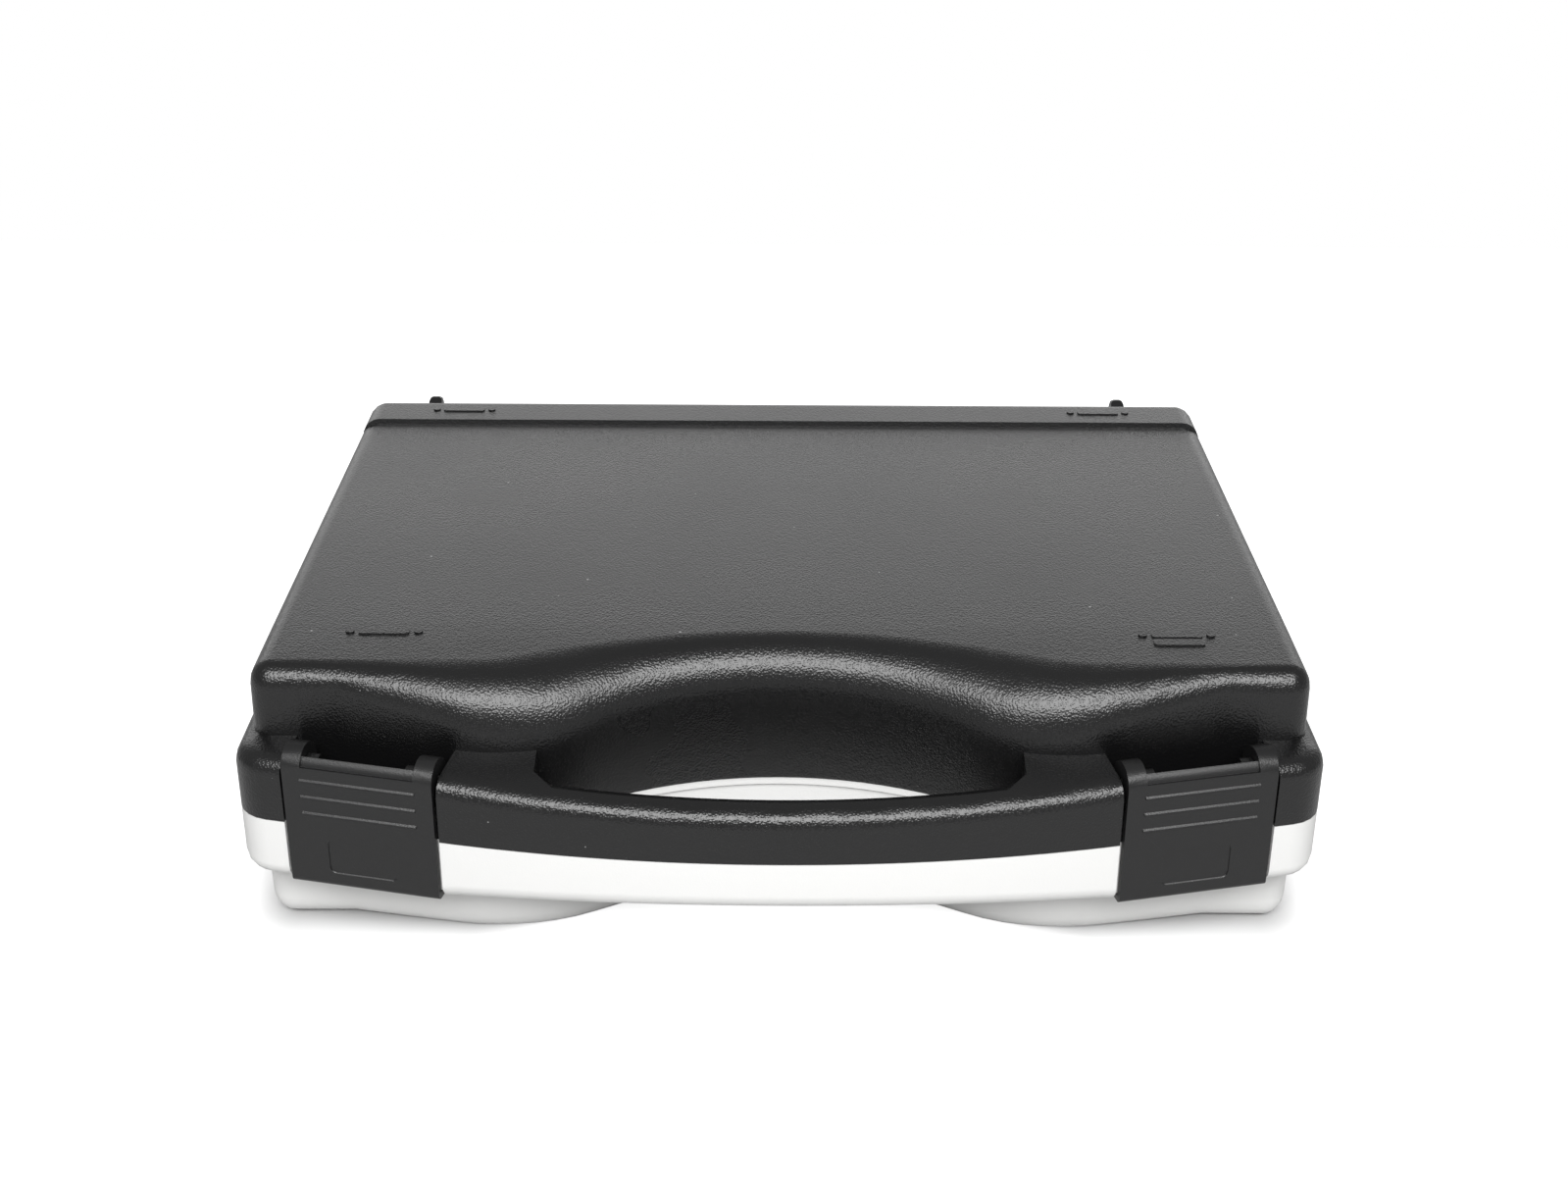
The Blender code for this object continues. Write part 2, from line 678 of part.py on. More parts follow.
def rear_foot():
    """A standing foot on the back wall, with its outer corners round."""
    outer = HINGE_Y + FOOT_REACH
    inner = BODY_LENGTH - WALL / 2
    profile = [(inner, FOOT_LOW), (outer, FOOT_LOW)]
    corner = (outer - FOOT_ROUND, FOOT_HIGH - FOOT_ROUND)
    profile += arc(corner, FOOT_ROUND, 0.0, math.pi / 2, CORNER_STEPS)
    profile.append((inner, FOOT_HIGH - EDGE_FILLET / 2))
    bm = prism(profile, FOOT_X - FOOT_WIDTH / 2, FOOT_X + FOOT_WIDTH / 2, "X")
    bmesh.ops.recalc_face_normals(bm, faces=bm.faces)
    rims = [
        edge
        for edge in bm.edges
        if len({vert.co.x for vert in edge.verts}) == 1
        and min(vert.co.y for vert in edge.verts) > inner
    ]
    bmesh.ops.bevel(bm, geom=rims, offset=FOOT_EDGE, segments=2, profile=0.5, affect="EDGES")
    return bm


def marks(x, y, second_bar):
    """A raised bar between two discs, and a second bar before it where there is one."""
    low = SHELL_HEIGHT - EMBED
    high = SHELL_HEIGHT + MARK_HEIGHT
    half = MARK_BAR / 2
    made = []
    rows = [y - MARK_SECOND_BAR, y] if second_bar else [y]
    for row in rows:
        width = MARK_BAR_WIDTH / 2
        profile = rounded_rectangle(x - half, row - width, x + half, row + width, width / 2, 2)
        made.append(prism(profile, low, high, "Z"))
    for offset in (-MARK_DISC_X, MARK_DISC_X):
        profile = arc((x + offset, y), MARK_DISC_RADIUS, 0.0, math.tau, ROUND_STEPS // 2)[:-1]
        made.append(prism(profile, low, high, "Z"))
    return made


def shell(name, steps, turned_over, finish, parts, tools):
    """Makes a shell from its first solid and the unions and cuts that follow, in order."""
    made = add_object(settle(steps[0][1], turned_over), name, parts, finish)
    for number, (operation, bm) in enumerate(steps[1:]):
        tool = add_object(settle(bm, turned_over), f"{name}_tool_{number}", tools)
        tool.hide_render = True
        tool.display_type = "WIRE"
        modifier = made.modifiers.new(f"{operation.lower()}_{number}", "BOOLEAN")
        modifier.operation = operation
        modifier.solver = "EXACT"
        modifier.object = tool
    return made


def shell_steps(sunk, lip, flat, bay_cutters, knuckles):
    """The steps that both shells share."""
    steps = [("BASE", rim_solid()), ("DIFFERENCE", finger_hole())]
    steps += [("DIFFERENCE", pocket) for pocket in handle_pockets() + end_pockets()]
    for side in (-1, 1):
        steps += [("DIFFERENCE", on_side(cutter, side)) for cutter in bay_cutters()]
    steps += [("UNION", body_solid(sunk, lip, flat)), ("DIFFERENCE", parting_cutter())]
    for side in (-1, 1):
        foot = on_side(rear_foot(), side)
        bmesh.ops.translate(foot, vec=(FOOT_SHIFT, 0, 0), verts=foot.verts)
        steps.append(("UNION", foot))
        steps += [("UNION", on_side(knuckle(n), side)) for n in knuckles]
    return steps


def hinge_bores():
    """The bores for both hinge pins."""
    bore = HINGE_PIN_RADIUS + FIT
    length = HINGE_LENGTH + OVERRUN
    return [("DIFFERENCE", on_side(hinge_bar(bore, length), side)) for side in (-1, 1)]


def build_lid(finish, parts, tools):
    """The black lid, with its latch bays, lugs, sunk panel and marks."""
    steps = shell_steps(PANEL_DEPTH, 0.0, flat_front, lid_bay_cutters, range(1, KNUCKLES, 2))
    for side in (-1, 1):
        for x0 in (EAR_INNER - FIT - LUG_WIDTH, FIT - EAR_INNER):
            steps.append(("UNION", on_side(to_bay(lug(x0)), side)))
        bore = to_bay(pivot_cylinder(ROD_RADIUS + FIT, -BAY_HALF + FIT, BAY_HALF - FIT))
        steps.append(("DIFFERENCE", on_side(bore, side)))
    steps += [("DIFFERENCE", cavity(PANEL_DEPTH, flat_front)), ("DIFFERENCE", hollow())]
    growth = TONGUE + FIT
    for bm in seam_prisms(growth, -OVERRUN, TONGUE_HEIGHT + FIT):
        steps.append(("DIFFERENCE", bm))
    steps += hinge_bores()
    for x in (-MARK_X, MARK_X):
        steps += [("UNION", bm) for bm in marks(x, MARK_FRONT_INSET, x > 0)]
        steps += [("UNION", bm) for bm in marks(x, MARK_REAR_Y, False)]
    made = shell("lid_shell", steps, False, finish, parts, tools)
    set_origin(made, Vector((0, FRONT_WALL_Y + HINGE_Y, PARTING_Z)))
    return made


def build_base(finish, parts, tools):
    """The white base, with a tongue that stands up inside the lid's wall."""
    flat = flat_front_of_base
    steps = shell_steps(0.0, LIP, flat, base_bay_cutters, range(0, KNUCKLES, 2))
    for bm in seam_prisms(TONGUE, -TONGUE_HEIGHT, EMBED):
        steps.append(("UNION", bm))
    steps += [("DIFFERENCE", cavity(0.0, flat)), ("DIFFERENCE", hollow())]
    steps += hinge_bores()
    return shell("base_shell", steps, True, finish, parts, tools)


def latch_profile():
    """The latch's section at its ears: hook, plate and the round head, in bay coordinates."""
    centre = (LATCH_PIVOT_DEPTH, LATCH_PIVOT_HEIGHT)
    foot = -LATCH_FOOT
    under = math.acos((LATCH_PIVOT_DEPTH - LATCH_BACK) / LATCH_RADIUS)
    profile = [(LATCH_HOOK, foot + LATCH_PLATE), (LATCH_HOOK, foot)]
    corner = (LATCH_FOOT_ROUND - LATCH_PROUD, foot + LATCH_FOOT_ROUND)
    profile += arc(corner, LATCH_FOOT_ROUND, -math.pi / 2, -math.pi, CORNER_STEPS)
    profile += arc(centre, LATCH_RADIUS, math.pi, under - math.pi, ROUND_STEPS)
    profile.append((LATCH_BACK, foot + LATCH_PLATE))
    return profile


def latch_opening():
    """What is cut from the head between the ears: all but the plate, which is dipped there."""
    centre = (LATCH_PIVOT_DEPTH, LATCH_PIVOT_HEIGHT)
    crest = math.pi - LATCH_CREST
    outer = LATCH_RADIUS - LATCH_DIP
    inner = LATCH_RADIUS - LATCH_PLATE - LATCH_CROWN
    dip_start = math.pi - math.asin((LATCH_DIP_START - LATCH_PIVOT_HEIGHT) / outer)
    reach = LATCH_RADIUS + OVERRUN
    front = LATCH_PIVOT_DEPTH - reach
    back = LATCH_PIVOT_DEPTH + reach
    low = LATCH_PIVOT_HEIGHT - reach
    high = LATCH_PIVOT_HEIGHT + reach
    profile = [(front, LATCH_DIP_START)]
    profile += arc(centre, outer, dip_start, crest, CORNER_STEPS)
    profile += arc(centre, inner, crest, math.pi, CORNER_STEPS)
    profile += [(LATCH_PIVOT_DEPTH - inner, low), (back, low), (back, high), (front, high)]
    return profile


def latch_line(z):
    """The section of a grip line, a low ridge with chamfers."""
    root = EMBED - LATCH_PROUD
    crest = -LATCH_PROUD - LATCH_LINE_HEIGHT
    brow = crest + LATCH_LINE_HEIGHT / 2
    half = LATCH_LINE_WIDTH / 2
    return (
        (root, z - half),
        (root, z + half),
        (brow, z + half),
        (crest, z + half / 2),
        (crest, z - half / 2),
        (brow, z - half),
    )


def latch_tools():
    """The unions and cuts that finish a latch, in bay coordinates."""
    reach = LATCH_WIDTH / 2 + OVERRUN
    steps = [("DIFFERENCE", prism(latch_opening(), -EAR_INNER, EAR_INNER, "X"))]
    steps.append(("DIFFERENCE", pivot_cylinder(ROD_RADIUS + FIT, -reach, reach)))
    for i in range(LATCH_LINES):
        profile = latch_line(LATCH_LINE_TOP - i * LATCH_LINE_PITCH)
        steps.append(("UNION", prism(profile, -LATCH_LINE_LENGTH / 2, LATCH_LINE_LENGTH / 2, "X")))
    badge = prism(
        rounded_rectangle(
            -BADGE_WIDTH / 2, BADGE_TOP - BADGE_HEIGHT, BADGE_WIDTH / 2, BADGE_TOP, BADGE_CORNER, 2
        ),
        LATCH_PROUD - BADGE_DEPTH,
        LATCH_PROUD + OVERRUN,
        "Z",
    )
    badge.transform(Matrix.Rotation(math.pi / 2, 4, "X"))
    steps.append(("DIFFERENCE", badge))
    return steps


def pivot_point(side):
    """The middle of a latch's axis, in the part's frame."""
    depth = Matrix.Rotation(RIM_TILT, 4, "Z") @ Vector((0, LATCH_PIVOT_DEPTH, 0))
    point = Vector((LATCH_X, rim_front(LATCH_X), LATCH_PIVOT_HEIGHT)) + depth
    return Vector((side * point.x, point.y + FRONT_WALL_Y, point.z + PARTING_Z))


def build_latch(name, side, finish, parts, tools):
    """A latch with two ears on its rod, grip lines, a bare sunk field and a hook."""
    half = LATCH_WIDTH / 2
    body = prism(latch_profile(), -half, half, "X")
    made = add_object(settle(on_side(to_bay(body), side)), name, parts, finish)
    for number, (operation, bm) in enumerate(latch_tools()):
        tool = add_object(settle(on_side(to_bay(bm), side)), f"{name}_tool_{number}", tools)
        tool.hide_render = True
        tool.display_type = "WIRE"
        modifier = made.modifiers.new(f"{operation.lower()}_{number}", "BOOLEAN")
        modifier.operation = operation
        modifier.solver = "EXACT"
        modifier.object = tool
    set_origin(made, pivot_point(side))
    return made


def build_rod(name, side, finish, parts):
    """The rod through a latch's ears and the lid's lugs."""
    length = LATCH_WIDTH / 2 - FIT
    bm = to_bay(pivot_cylinder(ROD_RADIUS, -length, length))
    return add_object(settle(on_side(bm, side)), name, parts, finish)


def build_hinge_pin(name, side, finish, parts):
    """A hinge pin, as long as its row of knuckles."""
    bm = hinge_bar(HINGE_PIN_RADIUS, HINGE_LENGTH)
    return add_object(settle(on_side(bm, side)), name, parts, finish)


def foam_block(ceiling, height, flat):
    """A foam liner's block, which follows the shell's inside with a little clearance."""
    inset = WALL + FOAM_SIDE_GAP
    top = SHELL_HEIGHT - ceiling - FOAM_GAP
    rings = [flat_ring(body_outline(), inset, top - height)]
    for i in range(INNER_FILLET_STEPS + 1):
        turn = math.pi / 2 * i / INNER_FILLET_STEPS
        rings.append(body_ring(inset, turn, top, flat))
    return loft(rings)


def build_lid_foam(finish, parts):
    """The lid's liner, a plain block."""
    bm = foam_block(CEILING + PANEL_DEPTH, LID_FOAM_HEIGHT, flat_front)
    return add_object(settle(bm), "lid_foam", parts, finish)


def build_base_foam(finish, parts, tools):
    """The base's liner, with a recess for the laptop and two scoops for the fingers."""
    block = foam_block(CEILING, BASE_FOAM_HEIGHT, flat_front_of_base)
    made = add_object(settle(block, True), "base_foam", parts, finish)
    half = BODY_WIDTH / 2 - RECESS_SIDE
    back = BODY_LENGTH - RECESS_BACK
    low = SHELL_HEIGHT - CEILING - FOAM_GAP - BASE_FOAM_HEIGHT - OVERRUN
    high = low + OVERRUN + RECESS_DEPTH
    recess = rounded_rectangle(-half, RECESS_FRONT, half, back, RECESS_CORNER)
    cutters = [prism(recess, low, high, "Z")]
    for x in (-half, half):
        middle = (x, (RECESS_FRONT + back) / 2)
        scoop = arc(middle, SCOOP_RADIUS, 0.0, math.tau, ROUND_STEPS)[:-1]
        cutters.append(prism(scoop, low, high - RECESS_DEPTH / 2, "Z"))
    for number, bm in enumerate(cutters):
        tool = add_object(settle(bm, True), f"base_foam_tool_{number}", tools)
        tool.hide_render = True
        tool.display_type = "WIRE"
        modifier = made.modifiers.new(f"recess_{number}", "BOOLEAN")
        modifier.operation = "DIFFERENCE"
        modifier.solver = "EXACT"
        modifier.object = tool
    return made


def clear_scene():
    """Removes every object that is there at the start."""
    for found in list(bpy.data.objects):
        bpy.data.objects.remove(found)


def main():
    """Builds the case."""
    clear_scene()
    parts = bpy.data.collections.new("laptop_hard_case")
    tools = bpy.data.collections.new("cutters")
    for collection in (parts, tools):
        bpy.context.scene.collection.children.link(collection)
    black = material("black_polypropylene", (0.028, 0.028, 0.030), 0.42)
    white = material("natural_polypropylene", (0.86, 0.86, 0.84), 0.38)
    steel = material("zinc_plated_steel", (0.62, 0.62, 0.60), 0.32, 1.0)
    foam = material("charcoal_foam", (0.05, 0.05, 0.055), 0.95)
    build_base(white, parts, tools)
    lid = build_lid(black, parts, tools)
    moving = [build_lid_foam(foam, parts)]
    build_base_foam(foam, parts, tools)
    for side, hand in ((-1, "left"), (1, "right")):
        moving.append(build_latch(f"latch_{hand}", side, black, parts, tools))
        moving.append(build_rod(f"latch_rod_{hand}", side, steel, parts))
        build_hinge_pin(f"hinge_pin_{hand}", side, steel, parts)
    for part in moving:
        part.parent = lid
        part.matrix_parent_inverse = Matrix.Translation(-lid.location)


main()
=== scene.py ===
"""Dresses the laptop hard case: grained black and natural white shells, latches, pins, foam."""

from __future__ import annotations

import logging
import math
from collections.abc import Iterator
from contextlib import contextmanager
from dataclasses import dataclass
from enum import Enum

import bpy
from mathutils import Matrix, Vector

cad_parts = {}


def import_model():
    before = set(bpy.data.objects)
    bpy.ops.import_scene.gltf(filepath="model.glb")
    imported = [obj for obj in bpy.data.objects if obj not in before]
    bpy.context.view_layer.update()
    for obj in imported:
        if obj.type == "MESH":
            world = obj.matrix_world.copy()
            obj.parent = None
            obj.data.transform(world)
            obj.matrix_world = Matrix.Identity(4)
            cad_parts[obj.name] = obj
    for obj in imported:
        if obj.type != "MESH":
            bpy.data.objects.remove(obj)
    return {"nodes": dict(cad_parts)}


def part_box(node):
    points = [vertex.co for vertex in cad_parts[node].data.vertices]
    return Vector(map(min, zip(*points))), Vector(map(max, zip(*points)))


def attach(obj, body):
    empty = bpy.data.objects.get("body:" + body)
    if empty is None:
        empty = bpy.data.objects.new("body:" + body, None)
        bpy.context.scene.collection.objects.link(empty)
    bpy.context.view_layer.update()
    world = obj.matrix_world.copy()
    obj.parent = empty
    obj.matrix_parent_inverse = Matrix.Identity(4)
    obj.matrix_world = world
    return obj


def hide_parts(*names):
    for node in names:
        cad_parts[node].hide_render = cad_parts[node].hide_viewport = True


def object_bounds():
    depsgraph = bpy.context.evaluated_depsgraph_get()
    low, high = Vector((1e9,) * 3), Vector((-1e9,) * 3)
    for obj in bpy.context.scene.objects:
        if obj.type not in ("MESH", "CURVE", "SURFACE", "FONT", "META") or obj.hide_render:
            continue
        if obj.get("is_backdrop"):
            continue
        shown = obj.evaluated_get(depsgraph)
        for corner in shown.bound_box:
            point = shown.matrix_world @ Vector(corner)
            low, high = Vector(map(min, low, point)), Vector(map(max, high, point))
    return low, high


LOG = logging.getLogger("laptop_hard_case")

MM = 0.001
MERGE_DISTANCE = 0.02 * MM
FLAT_ANGLE = 0.3
ROUND_SEGMENTS = 3
WHITE_LIGHT = (1.0, 1.0, 1.0, 1.0)

Triple = tuple[float, float, float]
Range = tuple[float, float]
Nodes = dict[str, bpy.types.Object]


class Body(Enum):
    """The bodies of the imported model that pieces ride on."""

    BASE = "base"
    LID = "lid"
    LATCH_LEFT = "latch_left"
    LATCH_RIGHT = "latch_right"


class Slot(Enum):
    """The record's material slots."""

    WHITE = "white_plastic"
    BLACK = "black_plastic"
    STEEL = "plated_steel"
    FOAM = "foam"


# Mesh helpers


def only(piece: bpy.types.Object) -> None:
    """Selects one piece alone and makes it active.

    Args:
        piece: The object to work on.
    """
    if bpy.context.mode != "OBJECT":
        bpy.ops.object.mode_set(mode="OBJECT")
    bpy.ops.object.select_all(action="DESELECT")
    piece.hide_set(False)
    piece.select_set(True)
    bpy.context.view_layer.objects.active = piece


@contextmanager
def whole_mesh(piece: bpy.types.Object) -> Iterator[None]:
    """Opens a piece in edit mode, with all of its mesh selected, for the lines inside.

    Args:
        piece: The object to edit.

    Yields:
        Nothing.
    """
    only(piece)
    bpy.ops.object.mode_set(mode="EDIT")
    bpy.ops.mesh.select_all(action="SELECT")
    yield
    bpy.ops.object.mode_set(mode="OBJECT")


def apply_all(piece: bpy.types.Object) -> None:
    """Applies every modifier of a piece, in order."""
    only(piece)
    for modifier in list(piece.modifiers):
        bpy.ops.object.modifier_apply(modifier=modifier.name)


def merged_copy(source: bpy.types.Object, name: str) -> bpy.types.Object:
    """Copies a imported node's loose triangles into one joined surface.

    Args:
        source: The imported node.
        name: The name of the new piece.

    Returns:
        The new piece, at the origin.
    """
    mesh = source.data.copy()
    mesh.materials.clear()
    piece = bpy.data.objects.new(name, mesh)
    bpy.context.scene.collection.objects.link(piece)
    with whole_mesh(piece):
        bpy.ops.mesh.remove_doubles(threshold=MERGE_DISTANCE)
        bpy.ops.mesh.select_all(action="SELECT")
        bpy.ops.mesh.dissolve_limited(angle_limit=math.radians(FLAT_ANGLE))
    return piece


def round_edges(piece: bpy.types.Object, radius: float, angle: float) -> None:
    """Rounds the edges of a piece that are sharper than an angle.

    Args:
        piece: The piece to round.
        radius: The radius in metres.
        angle: The least angle between faces, in degrees.
    """
    bevel = piece.modifiers.new("edge_round", "BEVEL")
    bevel.width = radius
    bevel.segments = ROUND_SEGMENTS
    bevel.limit_method = "ANGLE"
    bevel.angle_limit = math.radians(angle)
    bevel.use_clamp_overlap = True
    bevel.miter_outer = "MITER_ARC"
    apply_all(piece)


def smooth(piece: bpy.types.Object, angle: float) -> None:
    """Shades a piece smoothly, with flat faces kept flat and sharp edges kept sharp.

    Each corner takes the mean of the faces round it, by their area, that turn less than an angle
    from its own face, so slivers along a cut don't bend the shading of the faces beside them.

    Args:
        piece: The piece to shade.
        angle: The least angle between faces that stays sharp, in degrees.
    """
    only(piece)
    bpy.ops.object.shade_smooth()
    mesh = piece.data
    limit = math.cos(math.radians(angle))
    around: list[list[bpy.types.MeshPolygon]] = [[] for _ in mesh.vertices]
    for face in mesh.polygons:
        for vertex in face.vertices:
            around[vertex].append(face)
    corners = []
    for face in mesh.polygons:
        for vertex in face.vertices:
            total = face.normal * face.area
            for other in around[vertex]:
                if other != face and other.normal.dot(face.normal) > limit:
                    total = total + other.normal * other.area
            corners.append(total.normalized() if total.length > 0.0 else face.normal)
    mesh.normals_split_custom_set(corners)


def settle(
    piece: bpy.types.Object, body: Body, slot: Slot, finish: bpy.types.Material, *nodes: str
) -> None:
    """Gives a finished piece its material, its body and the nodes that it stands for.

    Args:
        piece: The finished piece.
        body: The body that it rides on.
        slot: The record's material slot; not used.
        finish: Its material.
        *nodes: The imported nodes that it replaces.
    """
    piece.data.materials.clear()
    piece.data.materials.append(finish)
    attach(piece, body.value)
    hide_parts(*nodes)
    LOG.info("%s: %d faces", piece.name, len(piece.data.polygons))


# Shader helpers and shared effects


class NodeGraph:
    """A small helper to place and join shader nodes."""

    MIX_INPUTS = (0, 6, 7)
    MIX_OUTPUT = 2

    def __init__(self, tree: bpy.types.NodeTree) -> None:
        """Takes the node tree to work in."""
        self.tree = tree

    def add(self, kind: str, **values: object) -> bpy.types.Node:
        """Adds a node and sets its properties.

        Args:
            kind: The node's type.
            **values: Properties of the node by name.

        Returns:
            The new node.
        """
        node = self.tree.nodes.new(kind)
        for name, value in values.items():
            setattr(node, name, value)
        return node

    def feed(self, socket: bpy.types.NodeSocket, source: object) -> None:
        """Joins a socket to another node's output, or sets its value."""
        if isinstance(source, bpy.types.NodeSocket):
            self.tree.links.new(source, socket)
        else:
            socket.default_value = source

    def fill(self, node: bpy.types.Node, sources: dict[str, object]) -> bpy.types.Node:
        """Feeds several inputs of a node.

        Args:
            node: The node to fill.
            sources: Sockets or values by the names of its inputs.

        Returns:
            The same node.
        """
        for label, source in sources.items():
            self.feed(node.inputs[label], source)
        return node

    def place(self) -> bpy.types.NodeSocket:
        """The position on the object, in metres."""
        return self.add("ShaderNodeTexCoord").outputs["Object"]

    def maths(self, operation: str, *sources: object) -> bpy.types.NodeSocket:
        """Adds a Math node.

        Args:
            operation: The operation's name.
            *sources: Its inputs, sockets or numbers.

        Returns:
            The result's socket.
        """
        node = self.add("ShaderNodeMath", operation=operation)
        for socket, source in zip(node.inputs, sources):
            self.feed(socket, source)
        return node.outputs[0]

    def span(
        self, value: object, source: Range, to: Range = (0.0, 1.0)
    ) -> bpy.types.NodeSocket:
        """Maps a range of values to another, smoothly, and clamps it.

        Args:
            value: The socket to map.
            source: The range that goes in.
            to: The range that comes out.

        Returns:
            The result's socket.
        """
        node = self.add("ShaderNodeMapRange", interpolation_type="SMOOTHSTEP")
        labels = ("Value", "From Min", "From Max", "To Min", "To Max")
        return self.fill(node, dict(zip(labels, (value, *source, *to)))).outputs["Result"]

    def mix(self, share: object, first: Triple, second: Triple) -> bpy.types.NodeSocket:
        """Mixes two colours by a share.

        Args:
            share: The second colour's share.
            first: The colour at 0.
            second: The colour at 1.

        Returns:
            The mixed colour's socket.
        """
        node = self.add("ShaderNodeMix", data_type="RGBA")
        for index, source in zip(self.MIX_INPUTS, (share, (*first, 1.0), (*second, 1.0))):
            self.feed(node.inputs[index], source)
        return node.outputs[self.MIX_OUTPUT]

    def relief(
        self, shader: bpy.types.Node, height: object, strength: float, distance: float
    ) -> None:
        """Feeds a height to a shader's normal.

        Args:
            shader: The shader.
            height: The height's socket, from 0 to 1.
            strength: The bump's strength.
            distance: The height of 1, in metres.
        """
        bump = self.add("ShaderNodeBump")
        self.fill(bump, {"Strength": strength, "Distance": distance, "Height": height})
        self.feed(shader.inputs["Normal"], bump.outputs["Normal"])


def new_material(name: str) -> tuple[bpy.types.Material, NodeGraph, bpy.types.Node]:
    """Starts a material.

    Args:
        name: Its name.

    Returns:
        The material, a graph to fill it with, and its shader.
    """
    made = bpy.data.materials.new(name)
    made.use_nodes = True
    return made, NodeGraph(made.node_tree), made.node_tree.nodes["Principled BSDF"]


class EffectLibrary:
    """The node groups that several finishes share."""

    BEND_SHARE = 0.6
    BEND_DETAIL = 1.0
    PEBBLE_SMOOTHNESS = 0.7
    PEBBLE_RANGE = (0.05, 0.75)
    PEBBLE_WEIGHT = 0.88
    SWELL_RANGE = (0.3, 0.7)
    SWELL_WEIGHT = 0.12
    FLOW_DETAIL = 3.0
    FLOW_ROUGHNESS = 0.55
    FLOW_RANGE = (0.25, 0.75)

    def __init__(self) -> None:
        """Builds each group once."""
        self.grain = self._grain()
        self.dust = self._dust()
        self.flow = self._flow()

    @staticmethod
    def _group(
        name: str, inputs: dict[str, float], output: str
    ) -> tuple[NodeGraph, bpy.types.Node, bpy.types.NodeSocket]:
        """Starts a group that takes a position and named numbers.

        Args:
            name: The group's name.
            inputs: Its number inputs with their defaults.
            output: The name of its number output.

        Returns:
            A graph to fill the group with, its input node and the socket of its output.
        """
        tree = bpy.data.node_groups.new(name, "ShaderNodeTree")
        tree.interface.new_socket("Position", in_out="INPUT", socket_type="NodeSocketVector")
        for label, value in inputs.items():
            socket = tree.interface.new_socket(
                label, in_out="INPUT", socket_type="NodeSocketFloat"
            )
            socket.default_value = value
        tree.interface.new_socket(output, in_out="OUTPUT", socket_type="NodeSocketFloat")
        graph = NodeGraph(tree)
        start = graph.add("NodeGroupInput")
        return graph, start, graph.add("NodeGroupOutput").inputs[output]

    def _grain(self) -> bpy.types.NodeTree:
        """Leather-like grain of a spark-eroded mould: soft pebbles with fine creases."""
        graph, start, end = self._group("mould_grain", {"Pebbles per metre": 900.0}, "Height")
        place, count = start.outputs["Position"], start.outputs["Pebbles per metre"]
        coarse = graph.maths("MULTIPLY", count, self.BEND_SHARE)
        bend = graph.add("ShaderNodeTexNoise")
        graph.fill(bend, {"Vector": place, "Scale": coarse, "Detail": self.BEND_DETAIL})
        pebbles = graph.add("ShaderNodeTexVoronoi", feature="SMOOTH_F1")
        graph.fill(
            pebbles, {"Vector": place, "Scale": count, "Smoothness": self.PEBBLE_SMOOTHNESS}
        )
        rise = graph.span(pebbles.outputs["Distance"], self.PEBBLE_RANGE, (1.0, 0.0))
        swell = graph.span(bend.outputs["Fac"], self.SWELL_RANGE)
        pebbled = graph.maths("MULTIPLY", rise, self.PEBBLE_WEIGHT)
        swollen = graph.maths("MULTIPLY", swell, self.SWELL_WEIGHT)
        graph.feed(end, graph.maths("ADD", pebbled, swollen))
        return graph.tree

    def _dust(self) -> bpy.types.NodeTree:
        """Sparse pale specks of dust."""
        graph, start, end = self._group(
            "dust_specks", {"Cells per metre": 90.0, "Size": 0.045, "Share": 0.8}, "Mask"
        )
        cells = graph.add("ShaderNodeTexVoronoi", feature="F1")
        place, count = start.outputs["Position"], start.outputs["Cells per metre"]
        graph.fill(cells, {"Vector": place, "Scale": count, "Randomness": 1.0})
        parts = graph.add("ShaderNodeSeparateColor")
        graph.feed(parts.inputs[0], cells.outputs["Color"])
        size = graph.maths("MULTIPLY", start.outputs["Size"], parts.outputs[1])
        near = graph.maths("LESS_THAN", cells.outputs["Distance"], size)
        chosen = graph.maths("LESS_THAN", parts.outputs[0], start.outputs["Share"])
        graph.feed(end, graph.maths("MULTIPLY", near, chosen))
        return graph.tree

    def _flow(self) -> bpy.types.NodeTree:
        """Broad, faint variation left by the flow of the plastic in its mould."""
        graph, start, end = self._group("flow_marks", {"Patches per metre": 9.0}, "Value")
        patches = graph.add("ShaderNodeTexNoise")
        graph.fill(
            patches,
            {
                "Vector": start.outputs["Position"],
                "Scale": start.outputs["Patches per metre"],
                "Detail": self.FLOW_DETAIL,
                "Roughness": self.FLOW_ROUGHNESS,
            },
        )
        graph.feed(end, graph.span(patches.outputs["Fac"], self.FLOW_RANGE))
        return graph.tree


# Finishes


